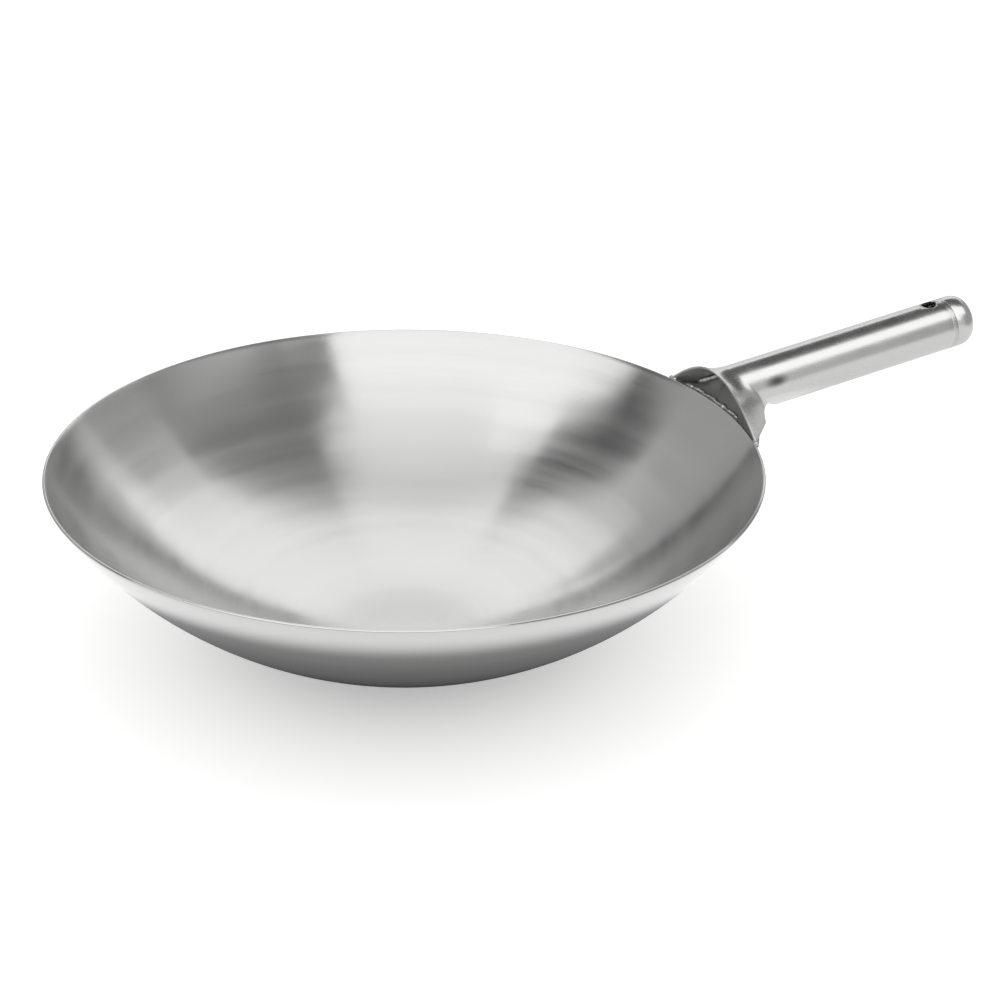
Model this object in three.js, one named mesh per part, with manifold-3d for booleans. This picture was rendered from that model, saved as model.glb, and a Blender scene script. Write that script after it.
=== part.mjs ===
// Stainless steel wok: spun bowl with a small flat base, and a hollow handle rolled from sheet.
// The handle's bowl end opens into a hood that reaches over the rim and is welded to it.
// Millimetres, +Z up, origin at the middle of the base, handle along +X.

import * as THREE from 'three';
import { mergeVertices } from 'three/addons/utils/BufferGeometryUtils.js';
import Module from 'manifold-3d';

const wasm = await Module();
wasm.setup();

// Bowl
const rimRadius = 178;
const wallRadius = 210;
const baseRadius = 37;
const bowlSheet = 1.5;

// Handle tube
const tubeRadius = 13.9;
const handleSheet = 1.2;
const handleTilt = THREE.MathUtils.degToRad(9.6);
const handleRise = 8.7;
const tubeEnd = 133;
const seamGap = 2;

// Hood at the tube's bowl end
const tipAngle = THREE.MathUtils.degToRad(15.4);
const crownHeight = 20.2;
const lipHollow = 0.15;
const crownBend = 3;
const seamStart = 31.5;
const bendSpread = 1.4;
const bendReach = 0.7;
const wingStraight = 0.75;
const notchPlace = 18.2;
const notchDrop = 6.5;
const notchWidth = 16;

// Dished plate that closes the hood behind the rim
const plateSheet = 1.2;
const plateFoot = 3;
const plateDish = 2;
const plateSetback = 12;
const plateSpan = 0.97;

// End cap and hanging hole
const capLength = 13;
const capCorner = 8;
const capSheet = 1.2;
const capLip = 2.4;
const hangHoleRadius = 4;
const hangHoleSetback = 22.5;

// Weld beads
const capBead = 2;
const rimBeadHeight = 3.4;
const rimBeadAbove = 0.8;
const rimBeadThick = 1.2;
const rimBeadSpan = 0.95;
const rimBeadLump = 0.12;
const rimBeadLumps = 11;
const throatBead = 1;
const throatBeadSpan = 0.8;
const wingBead = 1.2;
const wingBeadLength = 2.8;
const wingBeadEnd = 0.2;

// Gap left at every welded or fitted joint
const jointGap = 0.3;

// Facets
const roundSteps = 80;
const wallSteps = 12;
const tubeSteps = 32;
const hoodSteps = 12;
const tubeRows = 4;
const beadSides = 8;
const lumpSteps = 6;
const cornerSteps = 6;
const holeSteps = 20;

// Places that follow from the sizes above
const wallCentre = Math.sqrt(wallRadius ** 2 - baseRadius ** 2);
const rimHeight = wallCentre - Math.sqrt(wallRadius ** 2 - rimRadius ** 2);
const rimSlope = Math.asin(rimRadius / wallRadius);
const handleStart = new THREE.Vector3(rimRadius, 0, rimHeight + handleRise);
const alongHandle = new THREE.Vector3(Math.cos(handleTilt), 0, Math.sin(handleTilt));
const acrossHandle = new THREE.Vector3(0, 1, 0);
const aboveHandle = new THREE.Vector3(-Math.sin(handleTilt), 0, Math.cos(handleTilt));
const tubeBore = tubeRadius - handleSheet;
const seamAngle = Math.PI - seamGap / 2 / tubeRadius;
const capStart = tubeEnd + capBead + 2 * jointGap;
const handleEnd = capStart + capLength;
const hangHolePlace = handleEnd - hangHoleSetback;

// Closed mesh from a list of corners and a list of triangles
function meshGeometry(corners, triangles) {
  const geometry = new THREE.BufferGeometry();
  const flat = corners.flatMap((corner) => [corner.x, corner.y, corner.z]);
  geometry.setAttribute('position', new THREE.Float32BufferAttribute(flat, 3));
  geometry.setIndex(triangles.flat());
  return geometry;
}

// A sheet with two grids of points, one for each face, closed along its four edges
function sheetGeometry(front, back) {
  const rows = front.length;
  const columns = front[0].length;
  const corners = [...front.flat(), ...back.flat()];
  const at = (side, row, column) => side * rows * columns + row * columns + column;
  const triangles = [];
  const quad = (a, b, c, d) => triangles.push([a, b, c], [a, c, d]);
  for (let row = 0; row < rows - 1; row += 1) {
    for (let column = 0; column < columns - 1; column += 1) {
      quad(at(0, row, column), at(0, row + 1, column), at(0, row + 1, column + 1), at(0, row, column + 1));
      quad(at(1, row, column), at(1, row, column + 1), at(1, row + 1, column + 1), at(1, row + 1, column));
    }
  }
  for (let row = 0; row < rows - 1; row += 1) {
    const last = columns - 1;
    quad(at(0, row + 1, 0), at(0, row, 0), at(1, row, 0), at(1, row + 1, 0));
    quad(at(0, row, last), at(0, row + 1, last), at(1, row + 1, last), at(1, row, last));
  }
  for (let column = 0; column < columns - 1; column += 1) {
    const last = rows - 1;
    quad(at(0, 0, column), at(0, 0, column + 1), at(1, 0, column + 1), at(1, 0, column));
    quad(at(0, last, column + 1), at(0, last, column), at(1, last, column), at(1, last, column + 1));
  }
  return meshGeometry(corners, triangles);
}

// A bar through a row of rings of points, closed at both ends
function barGeometry(rings) {
  const sides = rings[0].length;
  const corners = rings.flat();
  const triangles = [];
  for (let ring = 0; ring < rings.length - 1; ring += 1) {
    for (let side = 0; side < sides; side += 1) {
      const next = (side + 1) % sides;
      const here = ring * sides;
      const beyond = here + sides;
      triangles.push([here + side, here + next, beyond + next], [here + side, beyond + next, beyond + side]);
    }
  }
  const ends = [rings[0], rings[rings.length - 1]];
  ends.forEach((ring, end) => {
    const middle = corners.length;
    const offset = end * (rings.length - 1) * sides;
    const centre = new THREE.Vector3();
    ring.forEach((point) => centre.addScaledVector(point, 1 / sides));
    corners.push(centre);
    for (let side = 0; side < sides; side += 1) {
      const next = (side + 1) % sides;
      const edge = end === 0 ? [offset + next, offset + side] : [offset + side, offset + next];
      triangles.push([middle, ...edge]);
    }
  });
  return meshGeometry(corners, triangles);
}

// Turned shape from a profile of [radius, height] pairs, axis along +Z
function turnedGeometry(profile, steps) {
  const points = profile.map(([radius, height]) => new THREE.Vector2(radius, height));
  return new THREE.LatheGeometry(points, steps).rotateX(Math.PI / 2);
}

// Solid for cutting and joining
function solidOf(geometry) {
  const mergeDistance = 1e-5;
  const bare = geometry.clone();
  bare.deleteAttribute('normal');
  bare.deleteAttribute('uv');
  const merged = mergeVertices(bare, mergeDistance);
  const vertProperties = new Float32Array(merged.attributes.position.array);
  const triVerts = new Uint32Array(merged.index.array);
  return new wasm.Manifold(new wasm.Mesh({ numProp: 3, vertProperties, triVerts }));
}

function geometryOf(solid) {
  const { vertProperties, triVerts, numProp } = solid.getMesh();
  const corners = [];
  for (let index = 0; index < vertProperties.length; index += numProp) {
    corners.push(new THREE.Vector3(...vertProperties.slice(index, index + 3)));
  }
  const triangles = [];
  for (let index = 0; index < triVerts.length; index += 3) {
    triangles.push([...triVerts.slice(index, index + 3)]);
  }
  return meshGeometry(corners, triangles);
}

const steelFinish = {
  spun: { color: 0xc9cacb, roughness: 0.28, metalness: 1 },
  polished: { color: 0xd2d3d4, roughness: 0.2, metalness: 1 },
  weld: { color: 0xbdbcba, roughness: 0.38, metalness: 1 },
};

function piece(name, geometry, finish) {
  const body = new THREE.Mesh(geometry, new THREE.MeshStandardMaterial(steelFinish[finish]));
  body.name = name;
  return body;
}

// Bowl: round wall of one curve, flat base, edge cut square to the sheet
function bowlGeometry() {
  const arc = (radius, from, to) => Array.from({ length: wallSteps + 1 }, (_, step) => {
    const angle = from + (to - from) * step / wallSteps;
    return [radius * Math.sin(angle), wallCentre - radius * Math.cos(angle)];
  });
  const innerRadius = wallRadius - bowlSheet;
  const outside = arc(wallRadius, Math.asin(baseRadius / wallRadius), rimSlope);
  const inside = arc(innerRadius, rimSlope, Math.acos((wallCentre - bowlSheet) / innerRadius));
  return turnedGeometry([[0, 0], ...outside, ...inside, [0, bowlSheet]], roundSteps);
}

// Point on the tube's outside: place along the handle, angle from the top, radius
function tubePoint(place, angle, radius) {
  return handleStart.clone()
    .addScaledVector(alongHandle, place)
    .addScaledVector(aboveHandle, radius * Math.cos(angle))
    .addScaledVector(acrossHandle, radius * Math.sin(angle));
}

// Front edge of the hood: an arch from wing tip to wing tip, standing over the rim
function lipPoint(share) {
  const tipRise = handleSheet + jointGap;
  const arch = (1 - share ** 2) * (1 - lipHollow * share ** 2);
  return new THREE.Vector3(
    rimRadius * Math.cos(tipAngle),
    rimRadius * Math.sin(tipAngle) * share,
    rimHeight + tipRise + (crownHeight - tipRise) * arch,
  );
}

// Place along the handle where the hood ends and the tube begins
function bendPlace(share) {
  return crownBend + (seamStart - crownBend) * Math.abs(share) ** bendSpread;
}

// Outside of the rolled sheet: share runs from seam edge to seam edge (-1 to 1).
// Run goes from the lip (0) through the hood to the tube (1), then along the tube (up to 2).
function shellPoint(share, run) {
  const bend = bendPlace(share);
  const angle = seamAngle * share;
  if (run >= 1) {
    return tubePoint(bend + (tubeEnd - bend) * (run - 1), angle, tubeRadius);
  }
  const lip = lipPoint(share);
  const tube = tubePoint(bend, angle, tubeRadius);
  const chord = tube.clone().sub(lip);
  const reach = bendReach * (1 - wingStraight * Math.abs(share));
  const leave = alongHandle.clone().multiplyScalar(chord.length() * reach);
  const square = run ** 2;
  const cube = run ** 3;
  return lip.multiplyScalar(2 * cube - 3 * square + 1)
    .addScaledVector(chord, cube - 2 * square + run)
    .addScaledVector(tube, 3 * square - 2 * cube)
    .addScaledVector(leave, cube - square);
}

// Same sheet, a depth below its outside face
function shellPointBelow(share, run, depth) {
  const step = 1e-3;
  const limit = (value, low, high) => Math.min(Math.max(value, low), high);
  const before = limit(share - step, -1, 1);
  const after = limit(share + step, -1, 1);
  const early = limit(run - step, 0, 2);
  const late = limit(run + step, 0, 2);
  const across = shellPoint(after, run).sub(shellPoint(before, run));
  const along = shellPoint(share, late).sub(shellPoint(share, early));
  const inward = across.cross(along).normalize();
  return shellPoint(share, run).addScaledVector(inward, depth);
}

const shellShares = Array.from({ length: tubeSteps + 1 }, (_, step) => -1 + 2 * step / tubeSteps);
const hoodRuns = Array.from({ length: hoodSteps + 1 }, (_, step) => step / hoodSteps);
const tubeRuns = Array.from({ length: tubeRows }, (_, step) => 1 + (step + 1) / tubeRows);

function shellGrid(runs, depth) {
  return runs.map((run) => shellShares.map((share) => shellPointBelow(share, run, depth)));
}

// Relief cut under the tube, between its seam and the hood's wings
function notchSolid() {
  const below = 2 * tubeRadius;
  const cutWidth = 4 * tubeRadius;
  const outline = new THREE.Shape();
  outline.moveTo(notchPlace, -notchDrop);
  outline.lineTo(notchPlace - notchWidth / 2, -below);
  outline.lineTo(notchPlace + notchWidth, -below);
  outline.lineTo(seamStart - jointGap, -tubeRadius);
  const cut = new THREE.ExtrudeGeometry(outline, { depth: cutWidth, bevelEnabled: false });
  cut.translate(0, 0, -cutWidth / 2);
  cut.rotateX(Math.PI / 2);
  cut.rotateY(-handleTilt);
  cut.translate(handleStart.x, handleStart.y, handleStart.z);
  return solidOf(cut);
}

function hangHoleSolid() {
  const drillLength = 4 * tubeRadius;
  const drill = new THREE.CylinderGeometry(hangHoleRadius, hangHoleRadius, drillLength, holeSteps);
  drill.rotateX(Math.PI / 2);
  drill.rotateY(-handleTilt);
  const centre = handleStart.clone().addScaledVector(alongHandle, hangHolePlace);
  drill.translate(centre.x, centre.y, centre.z);
  return solidOf(drill);
}

function handleShellGeometry() {
  const runs = [...hoodRuns, ...tubeRuns];
  const sheet = solidOf(sheetGeometry(shellGrid(runs, 0), shellGrid(runs, handleSheet)));
  return geometryOf(sheet.subtract(notchSolid()).subtract(hangHoleSolid()));
}

// Point near the rim: turn round the bowl, rise along its wall past the rim, distance out from the wall
function rimPoint(turn, rise, away) {
  const reach = rimRadius + rise * Math.cos(rimSlope) + away * Math.sin(rimSlope);
  const height = rimHeight + rise * Math.sin(rimSlope) - away * Math.cos(rimSlope);
  return new THREE.Vector3(reach * Math.cos(turn), reach * Math.sin(turn), height);
}

// Point under the hood: share across it, distance back from its lip, depth below its outside
function underLip(share, setback, depth) {
  const length = shellPoint(share, 0).distanceTo(shellPoint(share, 1));
  const intoTube = Math.max(setback - length, 0) / (tubeEnd - bendPlace(share));
  return shellPointBelow(share, Math.min(setback / length, 1) + intoTube, depth);
}

// Space under the hood and into the tube, a depth inside the sheet, with straight sides down past the rim
function hoodSpace(depth) {
  const drop = new THREE.Vector3(0, 0, -2 * crownHeight);
  const rings = shellGrid([...hoodRuns, tubeRuns[0]], depth).map((ring) => {
    const first = ring[0].clone().add(drop);
    const last = ring[ring.length - 1].clone().add(drop);
    return [last, ...ring.reverse(), first];
  });
  return solidOf(barGeometry(rings));
}

// The plate laps the rim's outside, runs back level with it and turns up to the roof of the hood
function throatPlateGeometry() {
  const shares = shellShares.map((share) => share * plateSpan);
  const columnAt = (share, depth) => {
    const turn = tipAngle * share;
    const away = jointGap + depth;
    const head = underLip(share, plateSetback + depth, 0);
    const heel = new THREE.Vector3(head.x, head.y, rimHeight + plateDish - depth);
    const curve = new THREE.QuadraticBezierCurve3(rimPoint(turn, 0, away), heel, head);
    return [rimPoint(turn, -plateFoot, away), ...curve.getPoints(hoodSteps)];
  };
  const face = (depth) => {
    const columns = shares.map((share) => columnAt(share, depth));
    return columns[0].map((_, row) => columns.map((column) => column[row]));
  };
  const plate = solidOf(sheetGeometry(face(0), face(plateSheet)));
  return geometryOf(plate.intersect(hoodSpace(handleSheet + jointGap)));
}

// Bead through a line of stations, each with its centre and half its width and height as directions
function beadGeometry(stations) {
  return barGeometry(stations.map(({ centre, right, up }) => {
    const ring = [];
    for (let side = 0; side < beadSides; side += 1) {
      const angle = 2 * Math.PI * side / beadSides;
      ring.push(centre.clone()
        .addScaledVector(right, Math.cos(angle))
        .addScaledVector(up, Math.sin(angle)));
    }
    return ring;
  }));
}

// Bead along the rim between two angles round the bowl, from a function that gives each section
function rimBeadGeometry(from, to, steps, sectionAt) {
  const stations = Array.from({ length: steps + 1 }, (_, step) => {
    const turn = from + (to - from) * step / steps;
    const { rise, away, high, wide } = sectionAt(2 * step / steps - 1);
    const centre = rimPoint(turn, rise, away);
    const up = rimPoint(turn, rise + high, away).sub(centre);
    const right = rimPoint(turn, rise, away - wide).sub(centre);
    return { centre, up, right };
  });
  return beadGeometry(stations);
}

// Lumpy bead that laps the rim's inside between the hood's tips
function rimWeldGeometry() {
  const section = (share) => {
    const lump = 1 + rimBeadLump * Math.sin(rimBeadLumps * Math.PI * share) * Math.cos(rimBeadLumps * share);
    const high = rimBeadHeight / 2 * lump;
    const wide = rimBeadThick / 2 * lump;
    const away = -(bowlSheet + jointGap + wide);
    return { rise: rimBeadAbove - rimBeadHeight / 2, away, high, wide };
  };
  return rimBeadGeometry(-rimBeadSpan * tipAngle, rimBeadSpan * tipAngle, rimBeadLumps * lumpSteps, section);
}

// Small round-ended bead on the rim's cut edge just past a wing tip
function wingWeldGeometry(side) {
  const start = side * (tipAngle + jointGap / rimRadius);
  const end = start + side * wingBeadLength / rimRadius;
  const section = (share) => {
    const half = wingBead * Math.sqrt(1 + wingBeadEnd ** 2 - share ** 2);
    return { rise: jointGap + half, away: -bowlSheet / 2, high: half, wide: half };
  };
  return rimBeadGeometry(Math.min(start, end), Math.max(start, end), beadSides, section);
}

// Bead along the plate's upper edge, against the inside of the hood
function throatWeldGeometry() {
  const setback = plateSetback - 2 * throatBead - jointGap;
  const depth = handleSheet + jointGap + throatBead;
  const stations = shellShares.map((share) => {
    const place = share * throatBeadSpan;
    const centre = underLip(place, setback, depth);
    const up = underLip(place, setback, depth - throatBead).sub(centre);
    const right = alongHandle.clone().multiplyScalar(-throatBead);
    return { centre, right, up };
  });
  return beadGeometry(stations);
}

// Bead in the seam along the underside of the tube
function seamWeldGeometry(from, to) {
  const half = (seamGap / 2 - jointGap) / tubeRadius;
  const angles = [Math.PI - half, Math.PI, Math.PI + half];
  const face = (radius) => [from, to].map((place) => angles.map((angle) => tubePoint(place, angle, radius)));
  return sheetGeometry(face(tubeRadius), face(tubeBore));
}

// Drawn cup with a rounded end and a short lip that locates in the tube
function endCapGeometry() {
  const corner = (radius) => Array.from({ length: cornerSteps + 1 }, (_, step) => {
    const angle = Math.PI / 2 * step / cornerSteps;
    const across = tubeRadius - capCorner + radius * Math.sin(angle);
    return [across, capLength - capCorner + radius * Math.cos(angle)];
  });
  const lipRadius = tubeBore - jointGap;
  const lipEnd = -(capBead + 2 * jointGap + capLip);
  const inside = corner(capCorner - capSheet);
  const outside = corner(capCorner).reverse();
  return turnedGeometry([
    [0, capLength - capSheet],
    ...inside,
    [tubeRadius - capSheet, capSheet],
    [lipRadius - capSheet, capSheet],
    [lipRadius - capSheet, lipEnd],
    [lipRadius, lipEnd],
    [lipRadius, 0],
    [tubeRadius, 0],
    ...outside,
    [0, capLength],
  ], tubeSteps);
}

// Ring between the tube's end and the cap, ground flush with both
function capWeldGeometry() {
  return turnedGeometry([
    [tubeBore, jointGap],
    [tubeRadius, jointGap],
    [tubeRadius, jointGap + capBead],
    [tubeBore, jointGap + capBead],
    [tubeBore, jointGap],
  ], tubeSteps);
}

// Group whose +Z runs along the handle from a place on it
function handleGroup(place, ...pieces) {
  const group = new THREE.Group();
  group.position.copy(handleStart).addScaledVector(alongHandle, place);
  group.rotation.y = Math.PI / 2 - handleTilt;
  group.add(...pieces);
  return group;
}

const wok = new THREE.Group();
wok.add(
  piece('bowl', bowlGeometry(), 'spun'),
  piece('handle_shell', handleShellGeometry(), 'polished'),
  piece('throat_plate', throatPlateGeometry(), 'polished'),
  piece('throat_weld', throatWeldGeometry(), 'weld'),
  piece('rim_weld', rimWeldGeometry(), 'weld'),
  piece('wing_weld_left', wingWeldGeometry(1), 'weld'),
  piece('wing_weld_right', wingWeldGeometry(-1), 'weld'),
  piece('seam_weld', seamWeldGeometry(seamStart, hangHolePlace - hangHoleRadius - jointGap), 'weld'),
  piece('seam_weld_end', seamWeldGeometry(hangHolePlace + hangHoleRadius + jointGap, tubeEnd), 'weld'),
  handleGroup(capStart, piece('end_cap', endCapGeometry(), 'polished')),
  handleGroup(tubeEnd, piece('cap_weld', capWeldGeometry(), 'weld')),
);

export default wok;
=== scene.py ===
import math

import bmesh
import bpy
import numpy as np
from mathutils import Matrix, Quaternion, Vector


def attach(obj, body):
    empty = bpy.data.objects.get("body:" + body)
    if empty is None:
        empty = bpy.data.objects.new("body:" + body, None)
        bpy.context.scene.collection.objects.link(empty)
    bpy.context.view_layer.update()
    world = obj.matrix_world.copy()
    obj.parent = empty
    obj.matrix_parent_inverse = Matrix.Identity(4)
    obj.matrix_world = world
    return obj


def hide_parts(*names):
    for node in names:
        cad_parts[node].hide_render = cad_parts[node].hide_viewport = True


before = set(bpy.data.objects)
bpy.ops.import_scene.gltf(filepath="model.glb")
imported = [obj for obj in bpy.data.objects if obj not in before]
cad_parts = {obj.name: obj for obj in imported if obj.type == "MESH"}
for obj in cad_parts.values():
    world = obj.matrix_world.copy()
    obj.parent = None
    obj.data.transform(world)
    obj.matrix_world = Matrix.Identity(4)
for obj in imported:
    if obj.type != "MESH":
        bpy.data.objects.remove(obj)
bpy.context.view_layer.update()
mm = 0.001  # sizes below are in millimetres, meshes in metres
print("frame loaded:", len(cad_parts), "solids")

scene = bpy.context.scene
scene.view_settings.view_transform = "Standard"


# sRGB hex to a linear colour
def linear(hexColour):
    parts = [int(hexColour[i:i + 2], 16) / 255 for i in (1, 3, 5)]
    return [c / 12.92 if c <= 0.04045 else ((c + 0.055) / 1.055) ** 2.4 for c in parts] + [1.0]


# one node with its settings, and its inputs as values or as links
def addNode(tree, kind, inputs=None, **settings):
    node = tree.nodes.new(kind)
    for name, value in settings.items():
        setattr(node, name, value)
    for socket, value in (inputs or {}).items():
        if isinstance(value, bpy.types.NodeSocket):
            tree.links.new(value, node.inputs[socket])
        else:
            node.inputs[socket].default_value = value
    return node


def newMaterial(name):
    material = bpy.data.materials.new(name)
    material.use_nodes = True
    material.node_tree.nodes.clear()
    return material, material.node_tree


noiseLow, noiseHigh = 0.3, 0.7  # a noise's values mostly lie between these


# Stainless sheet spun on a lathe and brushed while it turned: scratches run in rings, so
# reflections smear up and down the wall and stay crisp along the rings
spunSteel = {
    "colour": "#cacac9",
    "roughness": 0.2,
    "outsideRoughness": 0.1,  # the outside is polished further
    "roughnessSpread": 0.03,
    "anisotropic": 0.88,
    "smearTurn": 0.25,        # a quarter turn, from along the rings to across them
    "scratchPitch": 0.7,      # real scratches are finer, drawn this coarse so that they show
    "scratchTurns": 5.0,      # how often a scratch breaks round the bowl
    "ringPitch": 11.0,        # broad tool rings
    "scratchDepth": 0.0008,
    "scratchStrength": 0.35,
}


def spunSteelMaterial():
    m = spunSteel
    material, tree = newMaterial("stainlessSteelSpunBrushed")
    place = addNode(tree, "ShaderNodeTexCoord").outputs["Object"]
    flat = addNode(tree, "ShaderNodeVectorMath", {0: place, 1: (1, 1, 0)}, operation="MULTIPLY")
    around = addNode(tree, "ShaderNodeVectorMath", {0: flat.outputs[0]}, operation="NORMALIZE")
    around = addNode(tree, "ShaderNodeVectorMath", {0: around.outputs[0], "Scale": m["scratchTurns"]},
                     operation="SCALE")
    # the origin is the base's middle, so this distance runs up the wall
    upWall = addNode(tree, "ShaderNodeVectorMath", {0: place}, operation="LENGTH")
    lines = addNode(tree, "ShaderNodeMath", {0: upWall.outputs["Value"], 1: 1 / (m["scratchPitch"] * mm)},
                    operation="MULTIPLY")
    lineUp = addNode(tree, "ShaderNodeCombineXYZ", {"Z": lines.outputs[0]})
    lineAt = addNode(tree, "ShaderNodeVectorMath", {0: around.outputs[0], 1: lineUp.outputs[0]},
                     operation="ADD")
    scratch = addNode(tree, "ShaderNodeTexNoise", {"Vector": lineAt.outputs[0], "Scale": 1.0, "Detail": 3.0})
    rings = addNode(tree, "ShaderNodeMath", {0: upWall.outputs["Value"], 1: 1 / (m["ringPitch"] * mm)},
                    operation="MULTIPLY")
    ring = addNode(tree, "ShaderNodeTexNoise", {"W": rings.outputs[0], "Scale": 1.0, "Detail": 2.0},
                   noise_dimensions="1D")
    both = addNode(tree, "ShaderNodeMath", {0: scratch.outputs["Fac"], 1: ring.outputs["Fac"]},
                   operation="ADD")
    outside = addNode(tree, "ShaderNodeAttribute", attribute_name="outside").outputs["Fac"]
    base = addNode(tree, "ShaderNodeMapRange", {"Value": outside, "To Min": m["roughness"],
                   "To Max": m["outsideRoughness"]})
    spread = addNode(tree, "ShaderNodeMapRange", {
        "Value": both.outputs[0], "From Min": 2 * noiseLow, "From Max": 2 * noiseHigh,
        "To Min": -m["roughnessSpread"], "To Max": m["roughnessSpread"]})
    rough = addNode(tree, "ShaderNodeMath", {0: base.outputs["Result"], 1: spread.outputs["Result"]},
                    operation="ADD")
    bump = addNode(tree, "ShaderNodeBump", {"Height": scratch.outputs["Fac"],
                   "Strength": m["scratchStrength"], "Distance": m["scratchDepth"] * mm})
    tangent = addNode(tree, "ShaderNodeTangent", direction_type="RADIAL", axis="Z")
    steel = addNode(tree, "ShaderNodeBsdfPrincipled", {
        "Base Color": linear(m["colour"]), "Metallic": 1.0, "Roughness": rough.outputs[0],
        "Anisotropic": m["anisotropic"], "Anisotropic Rotation": m["smearTurn"],
        "Tangent": tangent.outputs[0], "Normal": bump.outputs[0]})
    addNode(tree, "ShaderNodeOutputMaterial", {"Surface": steel.outputs[0]})
    return material


# Stainless tube and pressings, linished along their length and then buffed: satin with soft reflections
satinSteel = {
    "colour": "#d2d2d1",
    "insideColour": "#858584",  # the hidden side keeps its dull mill finish
    "roughness": 0.25,
    "insideRoughness": 0.5,
    "smoother": 0.05, "rougher": 0.06,
    "grainPitch": 0.6,          # linishing lines across the grain, drawn coarse enough to show
    "grainLength": 14.0,
    "grainDepth": 0.003,
    "grainStrength": 0.3,
    "cloudPitch": 16.667,       # soft clouds left by the buffing
    # painted dark reflection beside the hood: place along the tube, turn round it, half sizes
    "paintedReflection": {"place": 24.5, "angle": -69.2, "long": 9.0, "wide": 4.2, "core": 0.1, "colour": "#6d6d6c"},
}


def satinSteelMaterial():
    m = satinSteel
    material, tree = newMaterial("stainlessSteelSatinBuffed")
    place = addNode(tree, "ShaderNodeTexCoord").outputs["Object"]
    acrossGrain = 1 / (m["grainPitch"] * mm)
    lay = addNode(tree, "ShaderNodeMapping", {"Vector": place, "Rotation": (0, tilt, 0),
                  "Scale": (1 / (m["grainLength"] * mm), acrossGrain, acrossGrain)})
    grain = addNode(tree, "ShaderNodeTexNoise", {"Vector": lay.outputs[0], "Scale": 1.0, "Detail": 3.0})
    cloud = addNode(tree, "ShaderNodeTexNoise", {"Vector": place, "Scale": 1 / (m["cloudPitch"] * mm),
                    "Detail": 2.0})
    both = addNode(tree, "ShaderNodeMath", {0: grain.outputs["Fac"], 1: cloud.outputs["Fac"]},
                   operation="ADD")
    inside = addNode(tree, "ShaderNodeAttribute", attribute_name="inside").outputs["Fac"]
    base = addNode(tree, "ShaderNodeMapRange", {"Value": inside, "To Min": m["roughness"],
                   "To Max": m["insideRoughness"]})
    spread = addNode(tree, "ShaderNodeMapRange", {
        "Value": both.outputs[0], "From Min": 2 * noiseLow, "From Max": 2 * noiseHigh,
        "To Min": -m["smoother"], "To Max": m["rougher"]})
    rough = addNode(tree, "ShaderNodeMath", {0: base.outputs["Result"], 1: spread.outputs["Result"]},
                    operation="ADD")
    # a Mix node's sockets share their names: 0 is the factor, 6 and 7 are the colours, 2 is the result
    colour = addNode(tree, "ShaderNodeMix", {0: inside, 6: linear(m["colour"]),
                     7: linear(m["insideColour"])}, data_type="RGBA")
    # painted dark reflection: an oval of darker colour mixed into the tube's colour beside the hood
    paintedReflection = m["paintedReflection"]
    spot = tubePoint(paintedReflection["place"], math.radians(paintedReflection["angle"]), handle["tubeRadius"]) * mm
    paintedReflectionSize = (paintedReflection["long"] * mm, paintedReflection["wide"] * mm, paintedReflection["wide"] * mm)
    toPaintedReflection = addNode(tree, "ShaderNodeMapping", {"Vector": place, "Location": spot.tolist(),
                     "Scale": paintedReflectionSize, "Rotation": (0, -tilt, 0)}, vector_type="TEXTURE")
    away = addNode(tree, "ShaderNodeVectorMath", {0: toPaintedReflection.outputs[0]}, operation="LENGTH")
    paintedReflectionMask = addNode(tree, "ShaderNodeMapRange", {"Value": away.outputs["Value"], "From Min": paintedReflection["core"],
                     "From Max": 1.0, "To Min": 1.0, "To Max": 0.0}, interpolation_type="SMOOTHSTEP")
    colour = addNode(tree, "ShaderNodeMix", {0: paintedReflectionMask.outputs["Result"], 6: colour.outputs[2],
                     7: linear(paintedReflection["colour"])}, data_type="RGBA")
    bump = addNode(tree, "ShaderNodeBump", {"Height": grain.outputs["Fac"], "Strength": m["grainStrength"],
                   "Distance": m["grainDepth"] * mm})
    steel = addNode(tree, "ShaderNodeBsdfPrincipled", {
        "Base Color": colour.outputs[2], "Metallic": 1.0, "Roughness": rough.outputs[0],
        "Normal": bump.outputs[0]})
    addNode(tree, "ShaderNodeOutputMaterial", {"Surface": steel.outputs[0]})
    return material


# Bare weld metal, wire brushed: duller than the sheet, with a fine crust
weldSteel = {
    "colour": "#c8c8c6",
    "roughness": 0.3, "smoother": 0.08, "rougher": 0.1,
    "crustPitch": 0.9, "crustDepth": 0.06, "crustStrength": 0.6,
}


def weldSteelMaterial():
    m = weldSteel
    material, tree = newMaterial("stainlessWeldBrushed")
    place = addNode(tree, "ShaderNodeTexCoord").outputs["Object"]
    crust = addNode(tree, "ShaderNodeTexNoise", {"Vector": place, "Scale": 1 / (m["crustPitch"] * mm),
                    "Detail": 4.0})
    rough = addNode(tree, "ShaderNodeMapRange", {
        "Value": crust.outputs["Fac"], "From Min": noiseLow, "From Max": noiseHigh,
        "To Min": m["roughness"] - m["smoother"], "To Max": m["roughness"] + m["rougher"]})
    bump = addNode(tree, "ShaderNodeBump", {"Height": crust.outputs["Fac"], "Strength": m["crustStrength"],
                   "Distance": m["crustDepth"] * mm})
    steel = addNode(tree, "ShaderNodeBsdfPrincipled", {
        "Base Color": linear(m["colour"]), "Metallic": 1.0, "Roughness": rough.outputs["Result"],
        "Normal": bump.outputs[0]})
    addNode(tree, "ShaderNodeOutputMaterial", {"Surface": steel.outputs[0]})
    return material


mergeDistance = 1e-6  # metres, closes seams and poles


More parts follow.
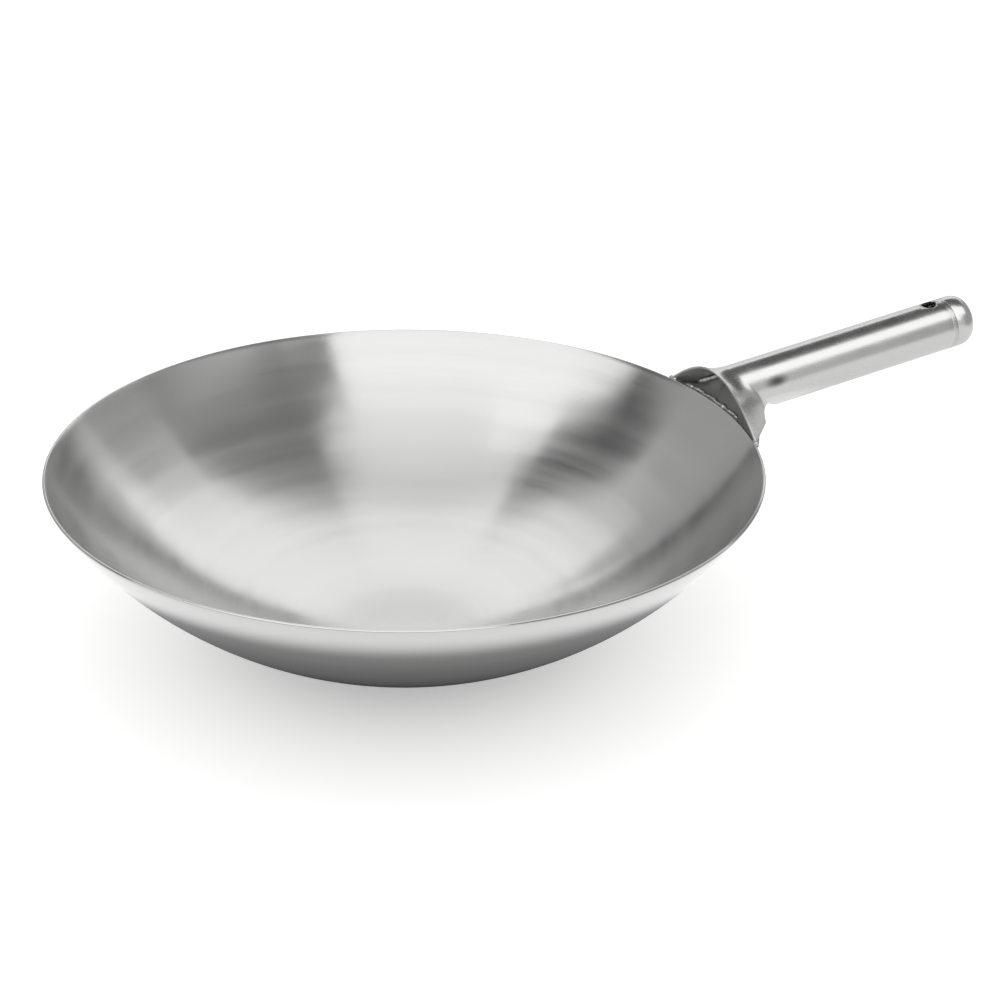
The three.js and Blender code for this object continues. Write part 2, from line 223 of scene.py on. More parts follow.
# a node tree with named inputs for sizes, besides the shape it works on
def shapeTree(name, inputs):
    tree = bpy.data.node_groups.new(name, "GeometryNodeTree")
    face = tree.interface
    face.new_socket("Geometry", in_out="INPUT", socket_type="NodeSocketGeometry")
    face.new_socket("Geometry", in_out="OUTPUT", socket_type="NodeSocketGeometry")
    for label, kind in inputs.items():
        face.new_socket(label, in_out="INPUT", socket_type="NodeSocket" + kind)
    return tree, addNode(tree, "NodeGroupInput").outputs


def endTree(tree, shape, material):
    smooth = addNode(tree, "GeometryNodeSetShadeSmooth", {"Geometry": shape})
    real = addNode(tree, "GeometryNodeRealizeInstances", {"Geometry": smooth.outputs[0]})
    painted = addNode(tree, "GeometryNodeSetMaterial", {"Geometry": real.outputs[0], "Material": material})
    addNode(tree, "NodeGroupOutput", {0: painted.outputs[0]})
    return tree


# a profile of reach (X) and drop (Y) carried round the Z axis
def turnedTree():
    tree, given = shapeTree("turnedShape", {"Path radius": "Float", "Steps": "Int", "Finish": "Material"})
    path = addNode(tree, "GeometryNodeCurvePrimitiveCircle", {"Resolution": given["Steps"],
                   "Radius": given["Path radius"]})
    level = addNode(tree, "GeometryNodeSetCurveNormal", {"Curve": path.outputs[0]}, mode="Z_UP")
    skin = addNode(tree, "GeometryNodeCurveToMesh", {"Curve": level.outputs[0],
                   "Profile Curve": given["Geometry"]})
    closed = addNode(tree, "GeometryNodeMergeByDistance", {"Geometry": skin.outputs[0],
                     "Distance": mergeDistance})
    return endTree(tree, closed.outputs[0], given["Finish"])


# a weld bead along a path: an oval section, tapered ends, lumps from noise
def beadTree():
    tree, given = shapeTree("weldBead", {"Height": "Float", "Width": "Float", "End": "Float", "Steps": "Int",
                            "Lump pitch": "Float", "Lump size": "Float", "Finish": "Material"})
    level = addNode(tree, "GeometryNodeSetCurveNormal", {"Curve": given["Geometry"]}, mode="Z_UP")
    at = addNode(tree, "GeometryNodeSplineParameter")
    whole = addNode(tree, "GeometryNodeSplineLength")
    rest = addNode(tree, "ShaderNodeMath", {0: whole.outputs["Length"], 1: at.outputs["Length"]},
                   operation="SUBTRACT")
    near = addNode(tree, "ShaderNodeMath", {0: rest.outputs[0], 1: at.outputs["Length"]},
                   operation="MINIMUM")
    share = addNode(tree, "ShaderNodeMath", {0: near.outputs[0], 1: given["End"]}, operation="DIVIDE",
                    use_clamp=True)
    grown = addNode(tree, "ShaderNodeMath", {0: share.outputs[0]}, operation="SQRT")
    ring = addNode(tree, "GeometryNodeCurvePrimitiveCircle", {"Resolution": given["Steps"], "Radius": 1.0})
    size = addNode(tree, "ShaderNodeCombineXYZ", {"X": given["Height"], "Y": given["Width"], "Z": 1.0})
    oval = addNode(tree, "GeometryNodeTransform", {"Geometry": ring.outputs[0], "Scale": size.outputs[0]})
    skin = addNode(tree, "GeometryNodeCurveToMesh", {"Curve": level.outputs[0],
                   "Profile Curve": oval.outputs[0], "Scale": grown.outputs[0], "Fill Caps": True})
    closed = addNode(tree, "GeometryNodeMergeByDistance", {"Geometry": skin.outputs[0],
                     "Distance": mergeDistance})
    spot = addNode(tree, "GeometryNodeInputPosition")
    fine = addNode(tree, "ShaderNodeMath", {0: 1.0, 1: given["Lump pitch"]}, operation="DIVIDE")
    noise = addNode(tree, "ShaderNodeTexNoise", {"Vector": spot.outputs[0], "Scale": fine.outputs[0],
                    "Detail": 1.0})
    # noise lies round 0.5, so that lumps go in as well as out
    lump = addNode(tree, "ShaderNodeMath", {0: noise.outputs["Fac"], 1: 0.5}, operation="SUBTRACT")
    lump = addNode(tree, "ShaderNodeMath", {0: lump.outputs[0], 1: given["Lump size"]}, operation="MULTIPLY")
    out = addNode(tree, "GeometryNodeInputNormal")
    push = addNode(tree, "ShaderNodeVectorMath", {0: out.outputs[0], "Scale": lump.outputs[0]},
                   operation="SCALE")
    lumpy = addNode(tree, "GeometryNodeSetPosition", {"Geometry": closed.outputs[0],
                    "Offset": push.outputs[0]})
    return endTree(tree, lumpy.outputs[0], given["Finish"])


# a poly curve through points in metres, for a node tree to work on
def pathObject(name, points):
    curve = bpy.data.curves.new(name + "Path", "CURVE")
    curve.dimensions = "3D"
    line = curve.splines.new("POLY")
    line.points.add(len(points) - 1)
    line.points.foreach_set("co", [c for p in points for c in (*p, 1.0)])
    made = bpy.data.objects.new(name + "Path", curve)
    scene.collection.objects.link(made)
    return made


# runs a node tree on a path, keeps the result as a plain mesh at the origin
def bakeTree(name, path, tree, values, place=None):
    modifier = path.modifiers.new(tree.name, "NODES")
    modifier.node_group = tree
    sockets = {s.name: s.identifier for s in tree.interface.items_tree if s.in_out == "INPUT"}
    for label, value in values.items():
        modifier[sockets[label]] = value
    bpy.context.view_layer.update()
    shape = path.evaluated_get(bpy.context.evaluated_depsgraph_get())
    mesh = bpy.data.meshes.new_from_object(shape)
    mesh.name = name
    path.modifiers.remove(modifier)
    bpy.data.objects.remove(path)
    if place is not None:
        mesh.transform(place)
    made = bpy.data.objects.new(name, mesh)
    scene.collection.objects.link(made)
    return outward(made)


# closed shells only: the enclosed volume says whether the faces point out
def outward(made):
    shell = bmesh.new()
    shell.from_mesh(made.data)
    if shell.calc_volume(signed=True) < 0:
        bmesh.ops.reverse_faces(shell, faces=shell.faces)
    shell.to_mesh(made.data)
    shell.free()
    return made


def finishPiece(made, node):
    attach(made, "root")
    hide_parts(node)
    print("made", made.name, len(made.data.polygons), "faces")
    return made


# Bowl: one round wall, a flat base blended into it, a deburred cut edge, faint rings left by the
# spinning, which die out towards the base and the rim
bowl = {
    "rimRadius": 178.0, "wallRadius": 210.0, "baseRadius": 37.0, "sheet": 1.5,
    "edgeRound": 0.5, "baseBlend": 1.2, "floorBlend": 4.5,
    "rings": [(0.004, 9.3, 0.4), (0.0012, 6.1, 1.9), (0.02, 21.0, 3.1)],  # depth, pitch, shift
    "turnSteps": 240, "wallSteps": 96, "edgeSteps": 8, "fadeInSteps": 20, "fadeOutSteps": 4,
}
wallCentre = math.sqrt(bowl["wallRadius"] ** 2 - bowl["baseRadius"] ** 2)
rimSlope = math.asin(bowl["rimRadius"] / bowl["wallRadius"])
rimHeight = wallCentre - bowl["wallRadius"] * math.cos(rimSlope)


def softMax(low, value, blend):
    gap = max(blend - abs(low - value), 0) / blend
    return max(low, value) + gap * gap * blend / 4


def wallProfile(radius, floor, blend, ringed):
    b = bowl
    last = rimSlope - b["edgeRound"] / b["wallRadius"]
    points = []
    for step in range(b["wallSteps"] + 1):
        angle = last * step / b["wallSteps"]
        along = radius * angle
        fade = min(1, step / b["fadeInSteps"], (b["wallSteps"] - step) / b["fadeOutSteps"])
        ripple = sum(depth * math.sin(2 * math.pi * along / pitch + shift)
                     for depth, pitch, shift in b["rings"])
        reach = radius + (ripple * fade if ringed else 0)
        points.append((softMax(floor, wallCentre - reach * math.cos(angle), blend), reach * math.sin(angle)))
    return points


def bowlProfile():
    b = bowl
    outside = wallProfile(b["wallRadius"], 0.0, b["baseBlend"], False)
    inside = wallProfile(b["wallRadius"] - b["sheet"], b["sheet"], b["floorBlend"], True)
    edge = []
    for step in range(1, b["edgeSteps"]):
        angle = math.pi * step / b["edgeSteps"]
        rise = b["edgeRound"] * (math.sin(angle) - 1)
        reach = b["wallRadius"] - b["sheet"] / 2 * (1 - math.cos(angle))
        turn = rimSlope + rise / b["wallRadius"]
        edge.append((wallCentre - reach * math.cos(turn), reach * math.sin(turn)))
    return outside + edge + inside[::-1]


turned = turnedTree()
bead = beadTree()
pathRadius = 20.0 * mm  # of the circle that a profile is carried along, taken off its reach again


def turnedPiece(name, profile, steps, finish, place=None):
    points = [(reach * mm - pathRadius, -height * mm, 0) for height, reach in profile]
    values = {"Path radius": pathRadius, "Steps": steps, "Finish": finish}
    return bakeTree(name, pathObject(name, points), turned, values, place)


# Handle: one sheet rolled to a tube, its bowl end opened to a hood that stands over the rim
handle = {
    "tubeRadius": 13.9, "sheet": 1.2, "tilt": 9.6, "rise": 8.7, "tubeEnd": 133.0, "seamGap": 2.0,
    "tipAngle": 15.4, "crownHeight": 20.2, "lipHollow": 0.15, "crownBend": 3.0, "seamStart": 31.5,
    "bendSpread": 1.4, "bendReach": 0.7, "wingStraight": 0.75, "jointGap": 0.3,
    "lipFlare": 1.4, "lipFlareLength": 4.0,
    "notchPlace": 18.2, "notchDrop": 6.5, "notchWidth": 16.0, "notchLean": 55.0,
    "holeRadius": 4.0, "holePlace": 126.1,
    "acrossSteps": 96, "hoodSteps": 44, "tubeSteps": 40, "holeSteps": 48,
    "edgeRound": 0.5, "roundSteps": 3, "roundFrom": 50.0, "insideDull": 0.6,
}
tilt = math.radians(handle["tilt"])
tipAngle = math.radians(handle["tipAngle"])
seamAngle = math.pi - handle["seamGap"] / 2 / handle["tubeRadius"]
handleStart = np.array([bowl["rimRadius"], 0, rimHeight + handle["rise"]])
alongHandle = np.array([math.cos(tilt), 0, math.sin(tilt)])
acrossHandle = np.array([0.0, 1.0, 0.0])
aboveHandle = np.array([-math.sin(tilt), 0, math.cos(tilt)])


def tubePoint(place, angle, radius):
    place, angle = np.broadcast_arrays(np.asarray(place, float), np.asarray(angle, float))
    return (handleStart + place[..., None] * alongHandle
            + (radius * np.cos(angle))[..., None] * aboveHandle
            + (radius * np.sin(angle))[..., None] * acrossHandle)


def lipPoint(share):
    h = handle
    tipRise = h["sheet"] + h["jointGap"]
    arch = (1 - share ** 2) * (1 - h["lipHollow"] * share ** 2)
    reach = np.full_like(share, bowl["rimRadius"] * math.cos(tipAngle))
    return np.stack([reach, bowl["rimRadius"] * math.sin(tipAngle) * share,
                     rimHeight + tipRise + (h["crownHeight"] - tipRise) * arch], -1)


# where along the handle the hood ends and the tube begins
def bendPlace(share):
    h = handle
    return h["crownBend"] + (h["seamStart"] - h["crownBend"]) * np.abs(share) ** h["bendSpread"]


# outside of the rolled sheet: share across it (-1 to 1), run from the lip (0) to the tube (1) to its end (2)
def sheetPoint(share, run):
    h = handle
    share, run = np.broadcast_arrays(np.asarray(share, float), np.asarray(run, float))
    bend = bendPlace(share)
    lip = lipPoint(share)
    foot = tubePoint(bend, seamAngle * share, h["tubeRadius"])
    chord = foot - lip
    reach = h["bendReach"] * (1 - h["wingStraight"] * np.abs(share))
    leave = (np.linalg.norm(chord, axis=-1) * reach)[..., None] * alongHandle
    t = np.minimum(run, 1)[..., None]
    hood = (lip * (2 * t ** 3 - 3 * t ** 2 + 1) + chord * (t ** 3 - 2 * t ** 2 + t)
            + foot * (3 * t ** 2 - 2 * t ** 3) + leave * (t ** 3 - t ** 2))
    tube = tubePoint(bend + (h["tubeEnd"] - bend) * (run - 1), seamAngle * share, h["tubeRadius"])
    return np.where((run > 1)[..., None], tube, hood)


def sheetNormal(share, run):
    step = 1e-3
    before, after = np.clip(share - step, -1, 1), np.clip(share + step, -1, 1)
    early, late = np.clip(run - step, 0, 2), np.clip(run + step, 0, 2)
    across = sheetPoint(after, run) - sheetPoint(before, run)
    along = sheetPoint(share, late) - sheetPoint(share, early)
    out = np.cross(along, across)
    return out / np.linalg.norm(out, axis=-1, keepdims=True)


# the same sheet a depth below its outside, with the lip turned up a little
def sheetPointBelow(share, run, depth):
    h = handle
    share, run = np.broadcast_arrays(np.asarray(share, float), np.asarray(run, float))
    length = np.linalg.norm(sheetPoint(share, np.ones_like(run)) - lipPoint(share), axis=-1)
    flare = h["lipFlare"] * np.exp(-np.minimum(run, 1) * length / h["lipFlareLength"]) * (1 - share ** 2)
    return sheetPoint(share, run) + (flare - depth)[..., None] * sheetNormal(share, run)


# closed sheet from two grids of points; "inside" says how dull each side was left, from 0 to 1
def sheetObject(name, front, back, hidden):
    rows, columns = front.shape[:2]
    points = np.concatenate([front.reshape(-1, 3), back.reshape(-1, 3)]) * mm
    faces = []

    def at(side, row, column):
        return (side * rows + row) * columns + column

    for row in range(rows - 1):
        for column in range(columns - 1):
            corners = [(row, column), (row + 1, column), (row + 1, column + 1), (row, column + 1)]
            faces.append([at(0, *c) for c in corners])
            faces.append([at(1, *c) for c in (corners[0], *corners[:0:-1])])
    last, end = columns - 1, rows - 1
    for row in range(end):
        after = row + 1
        faces.append([at(0, after, 0), at(0, row, 0), at(1, row, 0), at(1, after, 0)])
        faces.append([at(0, row, last), at(0, after, last), at(1, after, last), at(1, row, last)])
    for column in range(last):
        after = column + 1
        faces.append([at(0, 0, column), at(0, 0, after), at(1, 0, after), at(1, 0, column)])
        faces.append([at(0, end, after), at(0, end, column), at(1, end, column), at(1, end, after)])
    mesh = bpy.data.meshes.new(name)
    mesh.from_pydata(points.tolist(), [], faces)
    mesh.polygons.foreach_set("use_smooth", [True] * len(mesh.polygons))
    inside = mesh.attributes.new("inside", "FLOAT", "POINT")
    inside.data.foreach_set("value", np.repeat(np.array(hidden, dtype=np.float32), rows * columns))
    made = bpy.data.objects.new(name, mesh)
    scene.collection.objects.link(made)
    return outward(made)


# applies what is in the modifier stack
def bakeModifiers(made):
    bpy.context.view_layer.update()
    shape = made.evaluated_get(bpy.context.evaluated_depsgraph_get())
    mesh = bpy.data.meshes.new_from_object(shape)
    made.modifiers.clear()
    made.data = mesh
    return made


def roundEdges(made):
    bevel = made.modifiers.new("edges", "BEVEL")
    bevel.width = handle["edgeRound"] * mm
    bevel.segments = handle["roundSteps"]
    bevel.limit_method = "ANGLE"
    bevel.angle_limit = math.radians(handle["roundFrom"])
    bevel.harden_normals = False


# moves to a place on the tube's axis, after a turn about Y
def tubeMatrix(place, turn):
    middle = Vector((handleStart + alongHandle * place) * mm)
    return Matrix.Translation(middle) @ Matrix.Rotation(turn, 4, "Y")


# wedge that cuts the sheet away between the tube's seam and the hood's wings
def reliefCutter():
    h = handle
    clear = 2 * h["tubeRadius"]
    outline = [(h["notchPlace"], -h["notchDrop"]), (h["notchPlace"] - h["notchLean"], -clear),
               (h["notchPlace"] + h["notchWidth"], -clear),
               (h["seamStart"] - h["jointGap"], -h["tubeRadius"])]
    points = [((handleStart + place * alongHandle + up * aboveHandle + side * acrossHandle) * mm).tolist()
              for side in (-clear, clear) for place, up in outline]
    count = len(outline)
    sides = [(i, (i + 1) % count, count + (i + 1) % count, count + i) for i in range(count)]
    ends = [tuple(range(count))[::-1], tuple(range(count, 2 * count))]
    mesh = bpy.data.meshes.new("reliefCutter")
    mesh.from_pydata(points, [], [*ends, *sides])
    made = bpy.data.objects.new("reliefCutter", mesh)
    scene.collection.objects.link(made)
    return outward(made)


def handleShell(finish):
    h = handle
    shares = np.linspace(-1, 1, h["acrossSteps"] + 1)
    runs = np.concatenate([np.linspace(0, 1, h["hoodSteps"] + 1),
                           np.linspace(1, 2, h["tubeSteps"] + 1)[1:]])
    share, run = np.meshgrid(shares, runs)
    outer, inner = (sheetPointBelow(share, run, depth) for depth in (0, h["sheet"]))
    made = sheetObject("handleShell", outer, inner, (0, h["insideDull"]))
    roundEdges(made)
    bpy.ops.mesh.primitive_cylinder_add(radius=h["holeRadius"] * mm, depth=4 * h["tubeRadius"] * mm,
                                        vertices=h["holeSteps"])
    drill = bpy.context.object
    drill.matrix_world = tubeMatrix(h["holePlace"], -tilt)
    cutters = [drill, reliefCutter()]
    for cutter in cutters:
        cut = made.modifiers.new("cut", "BOOLEAN")
        cut.object = cutter
        cut.operation = "DIFFERENCE"
        cut.solver = "EXACT"
    bakeModifiers(made)
    for cutter in cutters:
        bpy.data.objects.remove(cutter)
    made.data.materials.clear()
    made.data.materials.append(finish)
    return finishPiece(made, "handle_shell")


# Closing plate: laps the rim's outside, runs back level with it and turns up to the roof of the hood
plate = {"sheet": 1.2, "foot": 3.0, "dish": 2.0, "setback": 12.0, "span": 1.0, "steps": 24}


def rimPoint(turn, rise, away):
    reach = bowl["rimRadius"] + rise * math.cos(rimSlope) + away * math.sin(rimSlope)
    height = rimHeight + rise * math.sin(rimSlope) - away * math.cos(rimSlope)
    return np.array([reach * math.cos(turn), reach * math.sin(turn), height])


def underLip(share, setback, depth):
    length = np.linalg.norm(sheetPoint(share, 0) - sheetPoint(share, 1))
    intoTube = max(setback - length, 0) / (handle["tubeEnd"] - bendPlace(share))
    return sheetPointBelow(share, min(setback / length, 1) + intoTube, depth)


def throatPlate(finish):
    p, gap = plate, handle["jointGap"]
    shares = np.linspace(-p["span"], p["span"], handle["acrossSteps"] + 1)
    steps = np.linspace(0, 1, p["steps"] + 1)

    def face(depth):
        grid = []
        for share in shares:
            turn = tipAngle * share
            head = underLip(share, p["setback"] + depth, handle["sheet"] + gap / 2)
            edge = rimPoint(turn, 0, gap + depth)
            heel = np.array([head[0], head[1], rimHeight + p["dish"] - depth])
            column = [rimPoint(turn, -p["foot"], gap + depth)]
            column += [(1 - t) ** 2 * edge + 2 * t * (1 - t) * heel + t * t * head for t in steps]
            grid.append(column)
        return np.array(grid)

    made = sheetObject("throatPlate", face(0), face(p["sheet"]), (1, 1))
    made.data.materials.append(finish)
    return finishPiece(made, "throat_plate")


# Weld beads: half height and half width of the section, length of the tapered ends, lumps
ringSteps = 20  # round a bead
welds = {
    "rim": {"high": 1.2, "wide": 1.2, "end": 3.0, "lumpPitch": 4.6, "lump": 3.0,
            "rise": 0.9, "away": 1.0, "first": -0.3, "last": 0.8, "steps": 160},
    "wing": {"high": 1.2, "wide": 1.2, "end": 1.0, "lumpPitch": 2.0, "lump": 0.4,
             "rise": 0.6, "length": 2.0, "under": 4.0, "steps": 16},
    "throat": {"high": 1.0, "wide": 1.0, "end": 2.0, "lumpPitch": 3.0, "lump": 1.1,
               "span": 0.8, "steps": 120},
    "seam": {"high": 0.5, "wide": 0.7, "end": 0.8, "lumpPitch": 1.6, "lump": 0.25,
             "stepLength": 0.8, "fewestSteps": 8},
}


def beadPiece(name, node, points, size, finish):
    values = {"Height": size["high"] * mm, "Width": size["wide"] * mm, "End": size["end"] * mm,
              "Lump pitch": size["lumpPitch"] * mm, "Lump size": size["lump"] * mm,
              "Steps": ringSteps, "Finish": finish}
    path = pathObject(name, [Vector(p) * mm for p in points])
    return finishPiece(bakeTree(name, path, bead, values), node)


def weldPieces(finish):
    rim, wing, throat, seam = welds.values()
    h, gap = handle, handle["jointGap"]
    turns = np.linspace(rim["first"] * tipAngle, rim["last"] * tipAngle, rim["steps"])
    line = [rimPoint(t, rim["rise"], rim["away"]) for t in turns]
    beadPiece("rimWeld", "rim_weld", line, rim, finish)
    for side, name in ((1, "Left"), (-1, "Right")):
        first, last = (tipAngle + reach / bowl["rimRadius"] for reach in (-wing["under"], wing["length"]))
        turns = side * np.linspace(first, last, wing["steps"])
        line = [rimPoint(t, wing["rise"], -bowl["sheet"] / 2) for t in turns]
        beadPiece("wingWeld" + name, "wing_weld_" + name.lower(), line, wing, finish)
    shares = np.linspace(-throat["span"], throat["span"], throat["steps"])
    setback = plate["setback"] - 2 * throat["high"] - gap
    line = [underLip(s, setback, h["sheet"] + gap + throat["high"]) for s in shares]
    beadPiece("throatWeld", "throat_weld", line, throat, finish)
    holeStart, holeEnd = (h["holePlace"] + side * (h["holeRadius"] + gap) for side in (-1, 1))
    for name, node, first, last in (("seamWeld", "seam_weld", h["seamStart"], holeStart),
                                    ("seamWeldEnd", "seam_weld_end", holeEnd, h["tubeEnd"])):
        steps = max(seam["fewestSteps"], int((last - first) / seam["stepLength"]))
        places = np.linspace(first, last, steps)
        line = tubePoint(places, np.full_like(places, math.pi), h["tubeRadius"] - seam["high"])
        beadPiece(name, node, line, seam, finish)


# Cap: drawn cup with a rounded end, its joint to the tube ground to a faint ring
cap = {"length": 13.0, "corner": 8.0, "sheet": 1.2, "lip": 2.4, "bead": 2.0, "beadProud": 0.08,
       "edgeCut": 0.15, "steps": 96, "cornerSteps": 16, "beadSteps": 8}


def capPieces(finish, weldFinish):
    c, gap, radius = cap, handle["jointGap"], handle["tubeRadius"]
    bore = radius - handle["sheet"]
    layDown = math.pi / 2 - tilt  # from the Z axis onto the tube's

    def corner(size):
        angles = [math.pi / 2 * step / c["cornerSteps"] for step in range(c["cornerSteps"] + 1)]
        return [(c["length"] - c["corner"] + size * math.cos(a), radius - c["corner"] + size * math.sin(a))
                for a in angles]

    width = c["bead"] + 2 * gap
    lip = bore - gap
    lipEnd = -(width + c["lip"])
    profile = [(c["length"] - c["sheet"], 0), *corner(c["corner"] - c["sheet"]),
               (c["sheet"], radius - c["sheet"]), (c["sheet"], lip - c["sheet"]), (lipEnd, lip - c["sheet"]),
               (lipEnd, lip), (0, lip), (0, radius - c["edgeCut"]), (c["edgeCut"], radius),
               *corner(c["corner"])[::-1], (c["length"], 0)]
    start = handle["tubeEnd"] + width
    made = turnedPiece("endCap", profile, c["steps"], finish, tubeMatrix(start, layDown))
    finishPiece(made, "end_cap")
    ring = [(0, bore)]
    for step in range(c["beadSteps"] + 1):
        share = step / c["beadSteps"]
        ring.append((width * share, radius + c["beadProud"] * math.sin(math.pi * share)))
    ring += [(width, bore), (0, bore)]
    made = turnedPiece("capWeld", ring, c["steps"], weldFinish, tubeMatrix(handle["tubeEnd"], layDown))
    finishPiece(made, "cap_weld")


# "outside" is 1 on the side that stands on the stove
def bowlPiece(finish):
    b = bowl
    made = turnedPiece("bowlSpun", bowlProfile(), b["turnSteps"], finish)
    points = np.empty(len(made.data.vertices) * 3, dtype=np.float32)
    made.data.vertices.foreach_get("co", points)
    points = points.reshape(-1, 3) / mm
    middle = b["wallRadius"] - b["sheet"] / 2
    away = np.linalg.norm(points - (0, 0, wallCentre), axis=1)
    outside = (away > middle) | (points[:, 2] < b["sheet"] / 2)
    side = made.data.attributes.new("outside", "FLOAT", "POINT")
    side.data.foreach_set("value", outside.astype(np.float32))
    return finishPiece(made, "bowl")


spun, satin, weld = spunSteelMaterial(), satinSteelMaterial(), weldSteelMaterial()
bowlPiece(spun)
handleShell(satin)
throatPlate(satin)
weldPieces(weld)
capPieces(satin, weld)


# Studio: a white background, and a grey room with bright and dark panels that only the steel mirrors.
# Sizes are in metres. Turn is measured from the way the camera looks, to the right; rise is the angle
# above the table
studio = {
    "aimHeight": 0.05,
    "cameraTurn": 22.8,
    "cards": [
        {"name": "frontPanel", "turn": 207, "rise": 56, "far": 1.47, "size": (3.75, 1.26), "light": 1.5},
        {"name": "backPanel", "turn": 3, "rise": 50, "far": 1.68, "size": (2.17, 1.84), "light": 1.33},
        {"name": "rightFlag", "turn": 106, "rise": 63, "far": 1.69, "size": (2.34, 1.11), "light": 0.22},
        {"name": "leftFlag", "turn": -74, "rise": 40, "far": 1.65, "size": (0.7, 1.63), "light": 0.09},
        {"name": "rightFill", "turn": 82, "rise": 16, "far": 1.2, "size": (1.94, 0.95), "light": 0.42},
        {"name": "leftFill", "turn": -59, "rise": 16, "far": 1.38, "size": (1.79, 0.86), "light": 0.47},
        {"name": "rightLow", "turn": 31, "rise": 8, "far": 1.51, "size": (1.48, 0.2), "light": 0.15},
        {"name": "leftLow", "turn": -29, "rise": 6, "far": 1.6, "size": (1.2, 0.88), "light": 0.15},
        {"name": "topPanel", "turn": 180, "rise": 82, "far": 1.45, "size": (1.04, 0.5), "light": 1.14},
    ],
    "handleCards": [  # lean from straight above the tube towards the far side, distance from its axis
        {"name": "handleBack", "lean": 72, "far": 0.13, "along": 0.13, "size": (0.3, 0.07), "light": 0.85},
        {"name": "handleShade", "lean": 23, "far": 0.13, "along": 0.14, "size": (0.3, 0.11), "light": 0.08},
        {"name": "handleStrip", "lean": -30, "far": 0.13, "along": 0.12, "size": (0.3, 0.09), "light": 1.45},
    ],
    "surround": 0.64, "surroundRadius": 6.0, "surroundSteps": (48, 24),
    "floorSize": 12.0, "floorColour": "#f7f7f6", "floorLift": 0.34, "worldColour": "#ffffff",
    # painted shadow under the bowl, seen only in the steel: light at its middle, at its edge and beyond, and
    # how far out these are
    "underRadius": 0.3, "underHeight": 0.0002, "underSteps": 64,
    "underDark": 0.03, "underDim": 0.27, "underLight": 1.08,
    "underFrom": 0.07, "underEdge": 0.134, "underTo": 0.162,
}


def glowMaterial(name, strength):
    material, tree = newMaterial(name)
    glow = addNode(tree, "ShaderNodeEmission", {"Strength": strength})
    addNode(tree, "ShaderNodeOutputMaterial", {"Surface": glow.outputs[0]})
    return material


# for what only shows in the steel
def reflectedOnly(made, material):
    made.data.materials.append(material)
    made.visible_camera = False
    made.visible_diffuse = False
    made.visible_shadow = False


def studioCard(card, centre, facing):
    bpy.ops.mesh.primitive_plane_add(size=1)
    made = bpy.context.object
    made.name = card["name"]
    made.scale = (*card["size"], 1)
    made.rotation_mode = "QUATERNION"
    made.rotation_quaternion = (centre - facing).to_track_quat("Z", "Y")
    made.location = centre
    reflectedOnly(made, glowMaterial(card["name"], card["light"]))
    return made


def farCard(card):
    turn, rise = math.radians(card["turn"] + studio["cameraTurn"]), math.radians(card["rise"])
    out = Vector((math.sin(turn) * math.cos(rise), math.cos(turn) * math.cos(rise), math.sin(rise)))
    aim = Vector((0, 0, studio["aimHeight"]))
    studioCard(card, aim + out * card["far"], aim)


# a card beside the tube and parallel to it
def handleCard(card):
    lean = math.radians(card["lean"])
    foot = Vector((handleStart * mm + alongHandle * card["along"]).tolist())
    out = Vector((aboveHandle * math.cos(lean) + acrossHandle * math.sin(lean)).tolist())
    made = studioCard(card, foot + out * card["far"], foot)
    axes = Matrix((alongHandle, np.cross(out, alongHandle), out)).transposed()
    made.rotation_quaternion = axes.to_quaternion()


# painted shadow of the bowl on the table, a glowing disc for the bowl's outside to mirror
def paintedShadowDisc():
    s = studio
    bpy.ops.mesh.primitive_circle_add(vertices=s["underSteps"], radius=s["underRadius"], fill_type="NGON",
                                      location=(0, 0, s["underHeight"]))
    made = bpy.context.object
    made.name = "paintedShadowDisc"
    material, tree = newMaterial("paintedTableShadow")
    place = addNode(tree, "ShaderNodeTexCoord").outputs["Object"]
    away = addNode(tree, "ShaderNodeVectorMath", {0: place}, operation="LENGTH")
    core = addNode(tree, "ShaderNodeMapRange", {"Value": away.outputs["Value"], "From Min": s["underFrom"],
                   "From Max": s["underEdge"], "To Min": s["underDark"], "To Max": s["underDim"]})
    edge = addNode(tree, "ShaderNodeMapRange", {"Value": away.outputs["Value"], "From Min": s["underEdge"],
                   "From Max": s["underTo"], "To Min": 0.0, "To Max": s["underLight"] - s["underDim"]},
                   interpolation_type="SMOOTHSTEP")
    level = addNode(tree, "ShaderNodeMath", {0: core.outputs["Result"], 1: edge.outputs["Result"]},
                    operation="ADD")
    glow = addNode(tree, "ShaderNodeEmission", {"Strength": level.outputs[0]})
    addNode(tree, "ShaderNodeOutputMaterial", {"Surface": glow.outputs[0]})
    reflectedOnly(made, material)


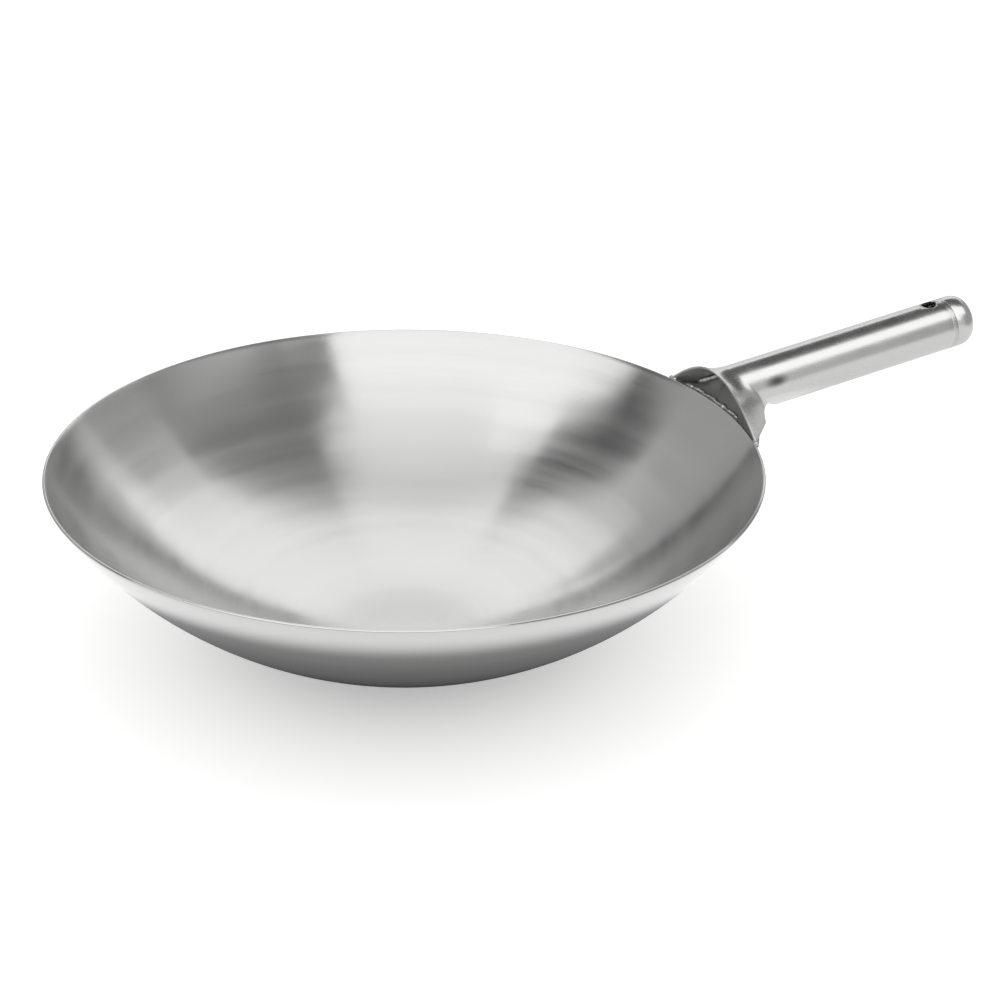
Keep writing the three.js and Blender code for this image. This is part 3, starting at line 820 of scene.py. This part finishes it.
def studioSet():
    s = studio
    bpy.ops.mesh.primitive_plane_add(size=s["floorSize"])
    floor = bpy.context.object
    floor.name = "table"
    material, tree = newMaterial("paleTable")
    seen = addNode(tree, "ShaderNodeLightPath").outputs["Is Camera Ray"]
    lift = addNode(tree, "ShaderNodeMath", {0: seen, 1: s["floorLift"]}, operation="MULTIPLY")
    matt = addNode(tree, "ShaderNodeBsdfDiffuse", {"Color": linear(s["floorColour"])})
    glow = addNode(tree, "ShaderNodeEmission", {"Strength": lift.outputs[0]})
    both = addNode(tree, "ShaderNodeAddShader", {0: matt.outputs[0], 1: glow.outputs[0]})
    addNode(tree, "ShaderNodeOutputMaterial", {"Surface": both.outputs[0]})
    floor.data.materials.append(material)
    world = bpy.data.worlds.new("whiteStudio")
    world.use_nodes = True
    background = world.node_tree.nodes["Background"]
    background.inputs["Color"].default_value = linear(s["worldColour"])
    background.inputs["Strength"].default_value = 1.0
    scene.world = world
    segments, rings = s["surroundSteps"]
    bpy.ops.mesh.primitive_uv_sphere_add(radius=s["surroundRadius"], segments=segments, ring_count=rings)
    room = bpy.context.object
    room.name = "greyRoom"
    reflectedOnly(room, glowMaterial("greyRoom", s["surround"]))
    for card in s["cards"]:
        farCard(card)
    for card in s["handleCards"]:
        handleCard(card)
    paintedShadowDisc()
    print("studio ready")


# Camera: where the photograph was taken from, places in metres, lens and sensor in millimetres
camera = {
    "eye": (-0.3095, -0.8565, 0.5084), "aim": (0.0632, 0.0297, 0.0476), "roll": 1.08,
    "lens": 72.2, "sensor": 36, "nearest": 0.01,
}


def studioCamera():
    made = bpy.data.objects.new("camera", bpy.data.cameras.new("camera"))
    scene.collection.objects.link(made)
    look = Vector(camera["aim"]) - Vector(camera["eye"])
    made.location = camera["eye"]
    made.rotation_mode = "QUATERNION"
    roll = Quaternion((0, 0, 1), math.radians(camera["roll"]))
    made.rotation_quaternion = look.to_track_quat("-Z", "Y") @ roll
    made.data.lens = camera["lens"]
    made.data.sensor_width = camera["sensor"]
    made.data.clip_start = camera["nearest"]
    scene.camera = made


studioSet()
studioCamera()
